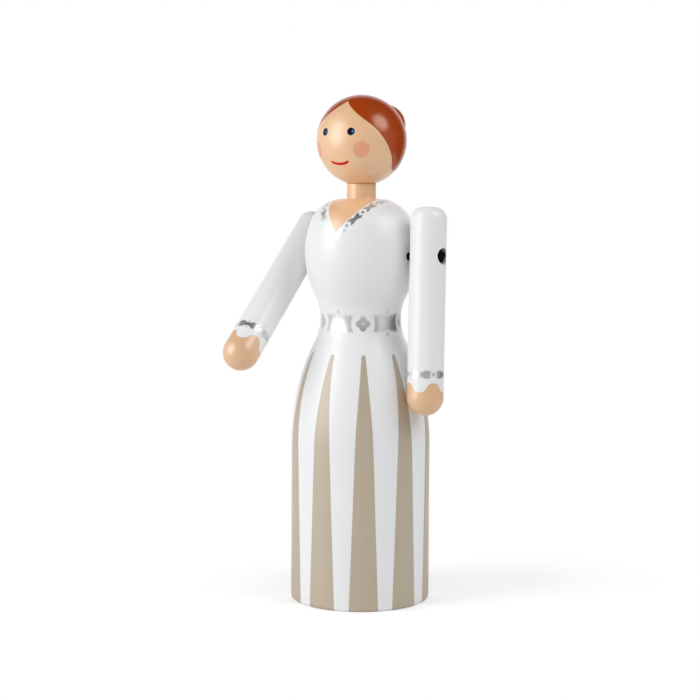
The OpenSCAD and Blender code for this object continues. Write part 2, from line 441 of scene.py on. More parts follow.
def join_rings(bm, first, second, left_out=()):
    """Faces between two rings of vertices, apart from the columns that are left out."""
    for here in range(len(first)):
        there = (here + 1) % len(first)
        if here not in left_out:
            face(bm, first[here], first[there], second[there], second[here])


def add_row(bm, points):
    """A row of vertices, or one vertex repeated where all its points are the same."""
    if all((point - points[0]).length < 1e-8 for point in points):
        return [bm.verts.new(points[0])] * len(points)
    return [bm.verts.new(point) for point in points]


def add_coat(bm, point, thickness, rows, columns, sink=SINK, ring=True):
    """A thin closed coat on a surface: point(row, column, lift) gives a point for shares of 0 to 1.
    A ring closes on itself, and a strip has two long edges."""
    across = columns if ring else columns + 1
    top, under = (
        [add_row(bm, [point(row / rows, column / columns, lift) for column in range(across)])
         for row in range(rows + 1)]
        for lift in (thickness, -sink))
    steps = [(column, (column + 1) % across) for column in range(columns)]
    for row in range(rows):
        for here, there in steps:
            face(bm, top[row][here], top[row][there], top[row + 1][there], top[row + 1][here])
            face(bm, under[row + 1][here], under[row + 1][there], under[row][there], under[row][here])
    for here, there in steps:
        face(bm, under[0][here], under[0][there], top[0][there], top[0][here])
        face(bm, top[-1][here], top[-1][there], under[-1][there], under[-1][here])
    if not ring:
        for row in range(rows):
            face(bm, top[row][0], top[row + 1][0], under[row + 1][0], under[row][0])
            face(bm, under[row][-1], under[row + 1][-1], top[row + 1][-1], top[row][-1])


def new_coat(*given, **options):
    """A mesh of one coat."""
    bm = bmesh.new()
    add_coat(bm, *given, **options)
    return bm


def bore_patch(turning, segments, height, window):
    """The rows below and above a bore's window, and the columns that it reaches to each side."""
    heights = [point.y for point in turning.points]
    outer = [index for index in range(1, len(heights)) if heights[index] > heights[index - 1]]
    low = max(index for index in outer if heights[index] <= height - window)
    high = min(index for index in outer if heights[index] >= height + window)
    reach = max(2, round(asin(min(1, window / turning.points[low].x)) / (tau / segments)))
    return low, high, reach


def add_bore(bm, turning, rows, quarters, patch, height, hole_side):
    """Draws the cord's bore along X into the windows left open for it. Gives the vertices on its walls."""
    low, high, reach = patch
    border = (
        [(low, step) for step in range(-reach, reach)] + [(row, reach) for row in range(low, high)]
        + [(high, step) for step in range(reach, -reach, -1)]
        + [(row, -reach) for row in range(high, low, -1)])

    def on_surface(side, across, up, inward=0.0):
        """A point of the turning beside its bore."""
        wide = turning.at(turning.find(height + up, 1, turning.runs[low - 1]))[0].x
        return Vector((side * (sqrt(wide ** 2 - across ** 2) - inward), across, height + up))

    def grow(ring, points):
        """Joins a ring of new vertices to a ring."""
        inner = [bm.verts.new(point) for point in points]
        join_rings(bm, ring, inner)
        return inner

    walls, ends = set(), []
    for side, quarter in quarters.items():
        holed = side == hole_side
        radius, lip = (KNOT_HOLE_R, HOLE_LIP) if holed else (CORD_BORE_R, BORE_LIP)
        ring = [rows[row][(quarter + side * step) % len(rows[row])] for row, step in border]
        places = [(vertex.co.y, vertex.co.z - height) for vertex in ring]
        aims = [atan2(up, across) for across, up in places]
        for share in RING_SHARES:
            ring = grow(ring, [
                on_surface(
                    side, across + ((radius + lip) * cos(aim) - across) * share,
                    up + ((radius + lip) * sin(aim) - up) * share)
                for (across, up), aim in zip(places, aims)])
        for step in LIP_STEPS:
            around = radius + lip * (1 - sin(radians(step)))
            down = lip * (1 - cos(radians(step)))
            ring = grow(ring, [on_surface(side, around * cos(aim), around * sin(aim), down) for aim in aims])
        if holed:
            for around in (KNOT_HOLE_R, CORD_BORE_R):
                ring = grow(ring, [
                    (side * HOLE_FLOOR, around * cos(aim), height + around * sin(aim)) for aim in aims])
                walls.update(ring)
        walls.update(ring)
        ends.append(ring)
    join_rings(bm, *ends)
    return walls


def turned_mesh(turning, segments, bore=None, bare=lambda place: False):
    """A closed mesh of a turning. bore gives the height and window of the cord's bore, and the side with a
    knot hole or 0. The bore's walls take the second material, and so do faces whose middle is bare."""
    bm = bmesh.new()
    turns = [tau * step / segments for step in range(segments)]
    rows = [
        add_row(bm, [Vector((radius * sin(turn), -radius * cos(turn), height)) for turn in turns])
        for radius, height in turning.points]
    quarters = {1: segments // 4, -1: 3 * segments // 4}
    height, window, hole_side = bore or (0, 0, 0)
    patch = bore_patch(turning, segments, height, window) if bore else (0, 0, 0)
    low, high, reach = patch
    opened = {(quarter + step) % segments for quarter in quarters.values() for step in range(-reach, reach)}
    for row in range(len(rows) - 1):
        join_rings(bm, rows[row], rows[row + 1], opened if low <= row < high else ())
    walls = add_bore(bm, turning, rows, quarters, patch, height, hole_side) if bore else set()
    bmesh.ops.recalc_face_normals(bm, faces=bm.faces[:])
    for made in bm.faces:
        in_bore = sum(vertex in walls for vertex in made.verts) >= 2
        made.material_index = 1 if in_bore or bare(made.calc_center_median()) else 0
    return bm


def new_object(name, bm, materials=(), sharp=SHARP_FOLD):
    """An object at the origin with a smooth-shaded mesh whose folds past an angle stay sharp."""
    mesh = bpy.data.meshes.new(name)
    bmesh.ops.recalc_face_normals(bm, faces=bm.faces[:])
    bm.to_mesh(mesh)
    bm.free()
    mesh.shade_smooth()
    mesh.set_sharp_from_angle(angle=radians(sharp))
    for material in materials:
        mesh.materials.append(material)
    made = bpy.data.objects.new(name, mesh)
    bpy.context.scene.collection.objects.link(made)
    return made


def bake(made):
    """Turns the result of an object's modifiers into its plain mesh."""
    bpy.context.view_layer.update()
    result = bpy.data.meshes.new_from_object(made.evaluated_get(bpy.context.evaluated_depsgraph_get()))
    made.modifiers.clear()
    old, made.data = made.data, result
    result.name = made.name
    bpy.data.meshes.remove(old)
    if not result.vertices:
        raise RuntimeError(f"{made.name} came out empty")
    result.shade_smooth()
    result.set_sharp_from_angle(angle=radians(SHARP_FOLD))


def discard(made):
    """Takes away an object that was only a tool."""
    data = made.data
    bpy.data.objects.remove(made)
    (bpy.data.curves if isinstance(data, bpy.types.Curve) else bpy.data.meshes).remove(data)


def settle(made, body, node=None):
    """Lets a finished piece ride on its body, and hides the solid that it stands for."""
    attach(made, body)
    if node:
        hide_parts(node)


# Nodes

def operator_pair(operation):
    """An operator that adds a Math node, and its reflected form."""
    def plain(value, other):
        return value.bench.math(operation, value, other)

    def reflected(value, other):
        return value.bench.math(operation, other, value)

    return plain, reflected


class Value:
    """A socket of a node tree: arithmetic on it adds Math nodes."""

    def __init__(self, bench, socket):
        self.bench, self.socket = bench, socket

    __add__, __radd__ = operator_pair("ADD")
    __sub__, __rsub__ = operator_pair("SUBTRACT")
    __mul__, __rmul__ = operator_pair("MULTIPLY")
    __truediv__, __rtruediv__ = operator_pair("DIVIDE")
    __pow__, __rpow__ = operator_pair("POWER")


class Bench:
    """Builds the nodes of one tree."""

    def __init__(self, tree):
        self.tree = tree
        tree.nodes.clear()

    def node(self, kind, settings=None, sockets=None, output=0):
        """A node with its settings and then its sockets, which take values or links. Gives one output."""
        made = self.tree.nodes.new(kind)
        for key, value in (settings or {}).items():
            setattr(made, key, value)
        for key, value in (sockets or {}).items():
            socket = self.socket(made.inputs, key)
            if isinstance(value, Value):
                self.tree.links.new(value.socket, socket)
            else:
                socket.default_value = value
        return Value(self, self.socket(made.outputs, output)) if made.outputs else None

    def socket(self, sockets, key):
        """A socket by its number, or the one in use that has a name or an identifier."""
        if isinstance(key, int):
            return sockets[key]
        return next(found for found in sockets if key in (found.identifier, found.name) and found.enabled)

    def math(self, operation, *values):
        return self.node("ShaderNodeMath", {"operation": operation}, dict(enumerate(values)))

    def vector(self, operation, *values, output=0):
        return self.node("ShaderNodeVectorMath", {"operation": operation}, dict(enumerate(values)), output)

    def scaled(self, vector, share):
        return self.node("ShaderNodeVectorMath", {"operation": "SCALE"}, {0: vector, "Scale": share})

    def along(self, place, axis):
        """The distance of a place along an axis."""
        return self.vector("DOT_PRODUCT", place, tuple(axis), output="Value")

    def parts(self, vector, labels):
        """Some of the parts X, Y and Z of a vector."""
        return [
            self.node("ShaderNodeSeparateXYZ", sockets={"Vector": vector}, output=label) for label in labels]

    def ease(self, value, low, high):
        """A soft step from 0 at low to 1 at high."""
        return self.node("ShaderNodeMapRange", {"interpolation_type": "SMOOTHSTEP"}, {
            "Value": value, "From Min": low, "From Max": high})

    def place(self):
        return self.node("ShaderNodeTexCoord", output="Object")

    def shown(self, behind):
        """One for what the camera sees itself, and a share for what it sees mirrored or through something."""
        camera, glossy, clear = (self.node("ShaderNodeLightPath", output=kind) for kind in SEEN_RAYS)
        return camera + (glossy + clear) * behind


class ShaderBench(Bench):
    """Builds one material."""

    def __init__(self, name):
        self.material = bpy.data.materials.new(name)
        self.material.use_nodes = True
        super().__init__(self.material.node_tree)

    def noise(self, place, scale, detail=2.0, roughness=0.5):
        """Soft noise from 0 to 1, with a scale in repeats to the metre."""
        return self.node("ShaderNodeTexNoise", {"noise_dimensions": "3D"}, {
            "Vector": place, "Scale": scale, "Detail": detail, "Roughness": roughness})

    def squeeze(self, place, axis, share):
        """A place whose distance along an axis is cut to a share."""
        return self.vector("SUBTRACT", place, self.scaled(tuple(axis), self.along(place, axis) * (1 - share)))

    def wave(self, value):
        """A sine of a value, from 0 to 1."""
        return self.math("SINE", value) * 0.5 + 0.5

    def blend(self, share, first, second):
        """A mix of two colours."""
        pick = [value if isinstance(value, Value) else (*value, 1) for value in (first, second)]
        return self.node("ShaderNodeMix", {"data_type": "RGBA"}, {
            "Factor_Float": share, "A_Color": pick[0], "B_Color": pick[1]}, "Result_Color")

    def close(self, shader):
        """Ends the material with a shader."""
        self.node("ShaderNodeOutputMaterial", sockets={"Surface": shader})
        return self.material

    def finish(self, height, depth, strength, **sockets):
        """Ends the material with a principled shader, its sockets and a bump of some height and depth."""
        sockets["normal"] = self.node("ShaderNodeBump", sockets={
            "Height": height, "Distance": depth, "Strength": strength})
        return self.close(self.node("ShaderNodeBsdfPrincipled", sockets={
            key.replace("_", " ").title().replace("Ior", "IOR"): value for key, value in sockets.items()}))


class GeometryBench(Bench):
    """Builds one geometry tree with named inputs."""

    def __init__(self, name, inputs):
        super().__init__(bpy.data.node_groups.new(name, "GeometryNodeTree"))
        sockets = self.tree.interface
        for label, kind in {"Geometry": "Geometry", **inputs, "Material": "Material"}.items():
            sockets.new_socket(label, in_out="INPUT", socket_type=f"NodeSocket{kind}")
        sockets.new_socket("Geometry", in_out="OUTPUT", socket_type="NodeSocketGeometry")

    def take(self, label):
        """One of the tree's inputs."""
        return self.node("NodeGroupInput", output=label)

    def close(self, geometry):
        """Ends the tree: instances made real, and the material set."""
        real = self.node("GeometryNodeRealizeInstances", sockets={"Geometry": geometry})
        dressed = self.node("GeometryNodeSetMaterial", sockets={
            "Geometry": real, "Material": self.take("Material")})
        self.node("NodeGroupOutput", sockets={"Geometry": dressed})
        return self.tree


def run_tree(made, tree, values):
    """Runs a geometry tree on an object, with inputs set by identifier, and keeps the plain mesh."""
    modifier = made.modifiers.new(tree.name, "NODES")
    modifier.node_group = tree
    for item in tree.interface.items_tree:
        if item.item_type == "SOCKET" and item.in_out == "INPUT" and item.name in values:
            modifier[item.identifier] = values[item.name]
    bake(made)
    return made


def repeat_round_tree():
    """Repeats a motif at even turns about the Z axis."""
    found = bpy.data.node_groups.get("Repeat Round")
    if found:
        return found
    bench = GeometryBench("Repeat Round", {"Count": "Int", "Start Turn": "Float"})
    spots = bench.node("GeometryNodeMeshLine", {"mode": "OFFSET"}, {
        "Count": bench.take("Count"), "Offset": (0, 0, 0)})
    turn = bench.node("GeometryNodeInputIndex") * (tau / bench.take("Count")) + bench.take("Start Turn")
    euler = bench.node("ShaderNodeCombineXYZ", sockets={"Z": turn})
    rotation = bench.node("FunctionNodeEulerToRotation", sockets={"Euler": euler})
    return bench.close(bench.node("GeometryNodeInstanceOnPoints", sockets={
        "Points": spots, "Instance": bench.take("Geometry"), "Rotation": rotation}))


def repeat_round(name, bm, repeats, turn, material):
    """An object that repeats a motif at even turns."""
    return run_tree(new_object(name, bm), repeat_round_tree(), {
        "Count": repeats, "Start Turn": turn, "Material": material})


def lay_along_tree():
    """Lays copies of a flat motif end to end along a path, bent on to a surface."""
    found = bpy.data.node_groups.get("Lay Along Path")
    if found:
        return found
    bench = GeometryBench("Lay Along Path", {
        "Path": "Object", "Surface": "Object", "Count": "Int", "Start": "Float", "Spacing": "Float"})
    path, surface = (
        bench.node("GeometryNodeObjectInfo", sockets={"Object": bench.take(label)}, output="Geometry")
        for label in ("Path", "Surface"))
    first, step = (
        bench.node("ShaderNodeCombineXYZ", sockets={"X": bench.take(label)})
        for label in ("Start", "Spacing"))
    spots = bench.node("GeometryNodeMeshLine", {"mode": "OFFSET"}, {
        "Count": bench.take("Count"), "Start Location": first, "Offset": step})
    copies = bench.node("GeometryNodeInstanceOnPoints", sockets={
        "Points": spots, "Instance": bench.take("Geometry")})
    strip = bench.node("GeometryNodeRealizeInstances", sockets={"Geometry": copies})
    x, y, z = bench.parts(bench.node("GeometryNodeInputPosition"), "XYZ")
    spot, heading = (
        bench.node("GeometryNodeSampleCurve", {"mode": "LENGTH"}, {"Curves": path, "Length": x}, label)
        for label in ("Position", "Tangent"))

    def normal_at(where):
        return bench.node("GeometryNodeSampleNearestSurface", {"data_type": "FLOAT_VECTOR"}, {
            "Mesh": surface, "Value": bench.node("GeometryNodeInputNormal"), "Sample Position": where})

    across = bench.vector("NORMALIZE", bench.vector("CROSS_PRODUCT", normal_at(spot), heading))
    beside = bench.vector("ADD", spot, bench.scaled(across, y))
    landed = bench.node("GeometryNodeProximity", {"target_element": "FACES"}, {
        0: surface, "Sample Position": beside}, "Position")
    lifted = bench.vector("ADD", landed, bench.scaled(normal_at(beside), z))
    return bench.close(bench.node("GeometryNodeSetPosition", sockets={"Geometry": strip, "Position": lifted}))


# Finishes

def made_once(make):
    """A finish that is made at its first use and found by its name after that."""
    def find(name, *values, **options):
        return bpy.data.materials.get(name) or make(name, *values, **options)

    return find


def shaded(shade, share):
    return tuple(channel * share for channel in shade)


@made_once
def lacquer(name, shade, deep, roughness, axis=UP, gloss=0.65, tint=WHITE, coat=0.0, cloud_scale=48.0,
            rings=0.25):
    """Sprayed lacquer on turned wood: soft clouds in the colour, a fine skin and faint marks of the tool."""
    bench = ShaderBench(name)
    place = bench.place()
    clouds = bench.noise(place, cloud_scale, 3.0)
    skin = bench.noise(place, 950.0)
    specks = bench.ease(bench.noise(place, 2600.0, 1.0), 0.68, 0.8)
    marks = bench.wave(bench.along(place, axis) * (tau / TOOL_PITCH) + clouds * 5)
    return bench.finish(
        skin + marks * rings + specks * 0.3, 0.02 * MM, 0.35,
        base_color=bench.blend(clouds * 0.7 + specks * 0.3, shade, deep),
        roughness=roughness + (clouds - 0.5) * 0.1 + (skin - 0.5) * 0.08,
        specular_ior_level=gloss, specular_tint=tint, coat_weight=coat, coat_roughness=0.45)


def white_lacquer(name, colours, axis=UP):
    return lacquer(name, colours.white, shaded(colours.white, 0.965), 0.36, axis)


def hair_finish(colours):
    return lacquer(
        "hair_lacquer", colours.hair, colours.hair_deep, 0.24,
        gloss=1.0, tint=WARM, cloud_scale=95.0, rings=0.0)


def skin_finish(name, shade, axis=UP):
    return lacquer(name, shade, shaded(shade, 0.96), 0.35, axis, 0.95, coat=0.8)


@made_once
def foil_finish(name, silver):
    """Silver foil pressed on the lacquer: bright metal with fine creases."""
    bench = ShaderBench(name)
    place = bench.place()
    creases = bench.noise(place, 1500.0, 3.0, 0.6)
    drift = bench.noise(place, 160.0)
    return bench.finish(
        creases + drift, 0.02 * MM, 0.3,
        base_color=bench.blend(drift, silver, shaded(silver, 0.86)),
        metallic=0.82, roughness=0.3 + drift * 0.08 + (creases - 0.5) * 0.12)


@made_once
def beech_finish(name, shade, deep, axis=UP, pith=BODY_PITH):
    """Bare beech: growth rings about a pith beside the piece, fibres and pores along the grain."""
    bench = ShaderBench(name)
    place = bench.place()
    drawn = bench.squeeze(place, axis, 0.04)
    fibres = bench.noise(drawn, 2400.0, 3.0, 0.6)
    wander = bench.noise(drawn, 130.0)
    away = bench.vector("CROSS_PRODUCT", bench.vector("SUBTRACT", place, pith), tuple(axis))
    distance = bench.vector("LENGTH", away, output="Value")
    rings = bench.wave(distance * (tau / RING_PITCH) + wander * 4) ** 2.5
    pores = bench.ease(bench.noise(drawn, 5200.0, 1.0), 0.62, 0.74)
    tone = bench.blend(rings * 0.65 + fibres * 0.35, shade, deep)
    return bench.finish(
        fibres * 0.6 + rings * 0.4 - pores, 0.03 * MM, 0.5,
        base_color=bench.blend(pores * 0.5, tone, shaded(deep, 0.55)),
        roughness=0.62 + (fibres - 0.5) * 0.2, specular_ior_level=0.4)


def bare_beech(colours):
    return beech_finish("bare_beech", colours.beech, colours.beech_deep)


def eye_finish(colours):
    """Navy enamel with lighter blue painted on one side as a reflection and a pale dot painted as a
    highlight, by the eye's own map.
    """
    bench = ShaderBench("eye_enamel")
    map_place = bench.node("ShaderNodeUVMap", {"uv_map": "eye"})
    grain = bench.noise(bench.place(), 1800.0)
    # Lighter blue painted on one side of the eye as a reflection
    side = bench.ease(bench.parts(map_place, "X")[0] + (grain - 0.5) * 0.06, 0.5, 0.72)
    # Pale dot painted as a highlight, blended into the base colour
    off_painted_highlight = bench.vector("DISTANCE", map_place, EYE_PAINTED_HIGHLIGHT, output="Value")
    tone = bench.blend(side, colours.navy, colours.blue)
    return bench.finish(
        grain, 0.01 * MM, 0.2,
        base_color=bench.blend(bench.ease(off_painted_highlight, 0.12, 0.03) * 0.7, tone, colours.painted_eye_highlight),
        roughness=0.26 + (grain - 0.5) * 0.1, specular_ior_level=0.12)


def elastic_finish(colours):
    """Black covered elastic: a braid of fine threads along the cord's own map."""
    bench = ShaderBench("black_elastic")
    round_cord, along_cord = bench.parts(bench.node("ShaderNodeUVMap", {"uv_map": "cord"}), "XY")
    threads = round_cord * (tau * BRAID_THREADS)
    slant = along_cord * (tau * BRAID_SLANT)
    braid = bench.math("MAXIMUM", bench.wave(threads + slant), bench.wave(threads - slant))
    fuzz = bench.noise(bench.place(), 4000.0)
    return bench.finish(
        braid + fuzz * 0.3, 0.1 * MM, 0.8,
        base_color=bench.blend(braid * 0.7 + fuzz * 0.3, shaded(colours.black, 0.35), colours.black),
        roughness=0.7 + (fuzz - 0.5) * 0.2, specular_ior_level=0.1)


def steel_finish(colours):
    """Plain steel with a fine grain."""
    bench = ShaderBench("washer_steel")
    place = bench.place()
    grain = bench.noise(place, 3200.0, 3.0, 0.6)
    return bench.finish(
        grain, 0.02 * MM, 0.3,
        base_color=bench.blend(bench.noise(place, 400.0), colours.steel, shaded(colours.steel, 0.7)),
        metallic=1.0, roughness=0.3 + (grain - 0.5) * 0.2)


def floor_finish(ahead, right):
    """A white floor that keeps the doll's shadow near it, and can be looked through from below."""
    bench = ShaderBench("white_floor")
    place = bench.place()
    away = bench.vector("LENGTH", place, output="Value")
    off_shadow = bench.vector("DISTANCE", place, tuple(right * SHADOW_ASIDE), output="Value")
    far = bench.ease(off_shadow, *SHADOW_FADE)
    seen = bench.shown(bench.ease(bench.along(place, ahead) / away, *BACKDROP_EDGE))
    paper = bench.node("ShaderNodeBsdfDiffuse", sockets={"Color": FLOOR_PAPER})
    glow = bench.node("ShaderNodeEmission", sockets={"Color": WHITE, "Strength": seen * FLOOR_GLOW})
    near = bench.node("ShaderNodeAddShader", sockets={0: paper, 1: glow})
    white = bench.node("ShaderNodeEmission", sockets={"Color": WHITE, "Strength": 1.0})
    level_floor = bench.node("ShaderNodeMixShader", sockets={0: far * seen, 1: near, 2: white})
    under = bench.node("ShaderNodeNewGeometry", output="Backfacing")
    opened = bench.math("MAXIMUM", under, bench.math("LESS_THAN", away, FOOT_OPENING))
    clear = bench.node("ShaderNodeBsdfTransparent")
    return bench.close(bench.node("ShaderNodeMixShader", sockets={0: opened, 1: level_floor, 2: clear}))


# Parts of the doll

def body_turning():
    """The body's turned surface, from the middle of its foot to the floor of its pin's bore."""
    def rise(step, rounds):
        return sqrt(step * (2 * rounds - step))

    hip = Vector((BASE_R - HIP_ROUND, WAIST_H - rise(BASE_R - WAIST_R, HIP_ROUND + WAIST_ROUND)))
    waist = Vector((WAIST_R + WAIST_ROUND, WAIST_H))
    bust = Vector((BUST_R - BUST_ROUND, WAIST_H + rise(BUST_R - WAIST_R, WAIST_ROUND + BUST_ROUND)))
    spare = BUST_ROUND - SHOULDER_ROUND
    tilt = degrees(asin((SHOULDER_H - SHOULDER_ROUND - bust.y) / spare))
    shoulder = bust + spare * Vector((cos(radians(tilt)), sin(radians(tilt))))
    hip_turn = degrees(atan2(waist.y - hip.y, waist.x - hip.x))
    bust_turn = degrees(atan2(waist.y - bust.y, waist.x - bust.x))
    foot = (BASE_R - FOOT_ROUND, FOOT_ROUND)
    fillet = (NECK_R + NECK_FILLET, SHOULDER_H + NECK_FILLET)
    return profile(
        (0, 0),
        ((foot[0], 0), 12),
        (foot, FOOT_ROUND, -90, 0, 6),
        ((BASE_R, hip.y), 36),
        (hip, HIP_ROUND, 0, hip_turn, 44),
        (waist, WAIST_ROUND, 180 + hip_turn, 180 + bust_turn, 30),
        (bust, BUST_ROUND, bust_turn, tilt, 38),
        (shoulder, SHOULDER_ROUND, tilt, 90, 26),
        ((fillet[0], SHOULDER_H), 2),
        (fillet, NECK_FILLET, 270, 180, 5),
        ((NECK_R, NECK_TOP - EDGE_BREAK), 10),
        ((NECK_R - EDGE_BREAK, NECK_TOP - EDGE_BREAK), EDGE_BREAK, 0, 90, 4),
        ((PIN_GLUE_R, NECK_TOP), 2),
        ((PIN_GLUE_R, NECK_TOP - PIN_DOWN), 6),
        ((0, NECK_TOP - PIN_DOWN), 3))


def arm_turning():
    """An arm's turned surface, from the tip of the hand to the top, with the bore at height zero."""
    shoulder = ARM_RISE - ARM_TOP_ROUND
    return profile(
        (0, -HAND_DROP - ARM_R),
        ((0, -HAND_DROP), ARM_R, -90, 0, 22),
        ((ARM_R, -ARM_FINE), 42),
        ((ARM_R, ARM_FINE), 8),
        ((ARM_R, shoulder), 8),
        ((ARM_R - ARM_TOP_ROUND, shoulder), ARM_TOP_ROUND, 0, 90, 12),
        ((0, ARM_RISE), 3))


def arm_matrix(side):
    """Places an arm, built about its own axis, at its pivot and its swing."""
    right = BORES[side].normalized()
    up = (UP - UP.dot(right) * right).normalized()
    back = up.cross(right)
    swing = REST_SWINGS[side]
    raised = cos(swing) * up + sin(swing) * back
    behind = cos(swing) * back - sin(swing) * up
    turn = Matrix((right, behind, raised)).transposed().to_4x4()
    return Matrix.Translation(PIVOTS[side]) @ turn @ Matrix.Translation((side * ARM_MIDS[side], 0, 0))


def bore_matrix(side):
    """Places what lies on an arm's bore, built with +Z outward from the pivot."""
    out = side * BORES[side].normalized()
    up = (UP - UP.dot(out) * out).normalized()
    return Matrix.Translation(PIVOTS[side]) @ Matrix((up, out.cross(up), out)).transposed().to_4x4()


def bun_mesh(turning):
    """A mesh of what is turned along the bun's axis, from the head's middle."""
    bm = turned_mesh(turning, STICK_SEGMENTS)
    bm.transform(Matrix.Translation(HEAD_C) @ Matrix.Rotation(BUN_LIFT - pi / 2, 4, "X"))
    return bm


def cut_bun_seat(made):
    """Cuts the bun's flat seat and the hole for its spigot out of an object."""
    floor = BUN_SEAT - SPIGOT_LEN
    hole = SPIGOT_R + GLUE_GAP
    clear = 2 * HEAD_R
    cutter = new_object("bun_cutter", bun_mesh(Turning((
        (0, floor), (hole, floor), (hole, BUN_SEAT), (HEAD_R, BUN_SEAT), (HEAD_R, clear), (0, clear)))))
    tool = made.modifiers.new("cut", "BOOLEAN")
    tool.operation, tool.solver, tool.object = "DIFFERENCE", "EXACT", cutter
    bake(made)
    discard(cutter)


def on_head(turn, rise, lift=0.0):
    """A point on the head at a turn from the front and an angle above its middle."""
    radius = HEAD_R + lift
    return HEAD_C + radius * Vector((cos(rise) * sin(turn), -cos(rise) * cos(turn), sin(rise)))


def add_head_disc(bm, turn, rise, radius, thickness, dome=0.0, map_layer=None):
    """A round spot of paint on the head, raised in its middle by a dome."""
    out = (on_head(turn, rise) - HEAD_C).normalized()
    right = Vector((cos(turn), sin(turn), 0))
    up = out.cross(right)

    def point(row, column, lift):
        away = radius * row
        toward = right * cos(tau * column) + up * sin(tau * column)
        raised = lift + (dome * (1 - row ** 2) if lift > 0 else 0)
        return HEAD_C + (HEAD_R + raised) * (out * cos(away / HEAD_R) + toward * sin(away / HEAD_R))

    first = len(bm.faces)
    add_coat(bm, point, thickness, rows=8, columns=40)
    if map_layer:
        bm.faces.ensure_lookup_table()
        for made in bm.faces[first:]:
            for loop in made.loops:
                offset = loop.vert.co - on_head(turn, rise)
                loop[map_layer].uv = (
                    0.5 + offset.dot(right) / (2 * radius), 0.5 + offset.dot(up) / (2 * radius))


class Lace:
    """A repeat of lace, in millimetres: a flower with four petals, and beyond it a leaf panel with two buds.
    points runs from the horn of the panel's hollow end to its middle, as tips and notches."""

    def __init__(self, period, hollow, flower, eye, points, bud):
        self.period, self.hollow, self.flower, self.eye = period, hollow, flower, eye
        self.points, self.bud = points, bud

    def panel(self, steps=7):
        """The outline of a quarter of the panel, about its middle."""
        horn = self.points[0][1]
        reach = hypot(self.period / 2 - self.points[0][0], horn)
        outline = []
        for step in range(steps):
            rise = horn * step / steps
            hollow = self.hollow + (reach - self.hollow) * step / steps
            outline.append((self.period / 2 - sqrt(hollow ** 2 - rise ** 2), rise))
        return outline + list(self.points)


BELT_LACE = Lace(
    period=16.965, hollow=3.9, flower=2.4, eye=0.34,
    points=((5.55, 3.15), (4.1, 2.3), (4.35, 3.3), (2.95, 2.25), (3.05, 3.4), (1.75, 2.15), (1.7, 3.15),
            (0.75, 2.1), (0, 2.3)),
    bud=(3.72, 0.55, 0.78))
CUFF_LACE = Lace(
    period=9.425, hollow=1.1, flower=0.66, eye=0.14,
    points=((4.0, 1.2), (3.2, 0.95), (2.85, 1.45), (2.3, 0.95), (1.8, 1.45), (1.2, 0.8), (0, 0.66)),
    bud=(1.28, 0.24, 0.26))


def all_round(quarter, steps=3):
    """A closed outline from its first quarter, with its edges cut in steps."""
    corners = list(quarter) + [(-x, y) for x, y in quarter[-2::-1]]
    corners += [(x, -y) for x, y in corners[-2:0:-1]]
    outline = []
    for here, there in zip(corners, corners[1:] + corners[:1]):
        outline += [Vector(here).lerp(Vector(there), step / steps) for step in range(steps)]
    return outline


def add_leaf(bm, lay, middle, quarter, foil, rows=8):
    """A flat leaf with an outline that is the same in all quarters. lay(x, y, lift) puts it in place."""
    outline = all_round(quarter)
    corners = len(outline)

    def point(row, column, lift):
        x, y = outline[round(column * corners) % corners]
        return lay(middle + row * x, row * y, lift)

    add_coat(bm, point, foil, rows, corners)


def add_oval(bm, lay, x, y, half_wide, half_tall, foil):
    def point(row, column, lift):
        return lay(x + half_wide * row * cos(tau * column), y + half_tall * row * sin(tau * column), lift)

    add_coat(bm, point, foil, rows=3, columns=24)


def add_flower(bm, lay, radius, eye, foil):
    """Four round petals about an open eye."""
    def point(row, column, lift):
        aim = tau * column
        petal = radius * (PETAL_WAIST + (1 - PETAL_WAIST) * abs(cos(2 * aim)) ** PETAL_POWER)
        reach = eye + (petal - eye) * row
        return lay(reach * cos(aim), reach * sin(aim) * PETAL_STRETCH, lift)

    add_coat(bm, point, foil, rows=4, columns=64)


def lace_mesh(lace, turning, repeats, middle, scale, foil):
    """One repeat of lace on a turning, about a height."""
    bm = bmesh.new()
    turn = tau / repeats / lace.period
    run = turning.find(middle, 1)
    up, half_wide, half_tall = lace.bud

    def lay(x, y, lift):
        return turning.place(x * turn, run + y * scale * MM, lift)

    add_flower(bm, lay, lace.flower, lace.eye, foil)
    add_leaf(bm, lay, lace.period / 2, lace.panel(), foil)
    for side in (1, -1):
        add_oval(bm, lay, lace.period / 2, side * up, half_wide, half_tall, foil)
    return bm


def on_neckline(turning, sizes, edge, turn, lean=0.0):
    """The turn and run of a neckline's edge, at a turn from its point. The neckline leans to one side."""
    radius = smooth_through(edge, abs(degrees(turn))) * MM
    run = turning.find(radius, 0, turning.find(NECKLINE_FLOOR, 1))
    rise = turning.at(run)[0].y - NECKLINE_FLOOR
    return turn + sizes.neckline_turn + lean + sizes.neckline_lean * rise / MM, run


def path_object(name, points):
    """A curve object through points."""
    data = bpy.data.curves.new(name, "CURVE")
    data.dimensions = "3D"
    spline = data.splines.new("POLY")
    spline.points.add(len(points) - 1)
    for point, place in zip(spline.points, points):
        point.co = (*place, 1)
    made = bpy.data.objects.new(name, data)
    bpy.context.scene.collection.objects.link(made)
    return made


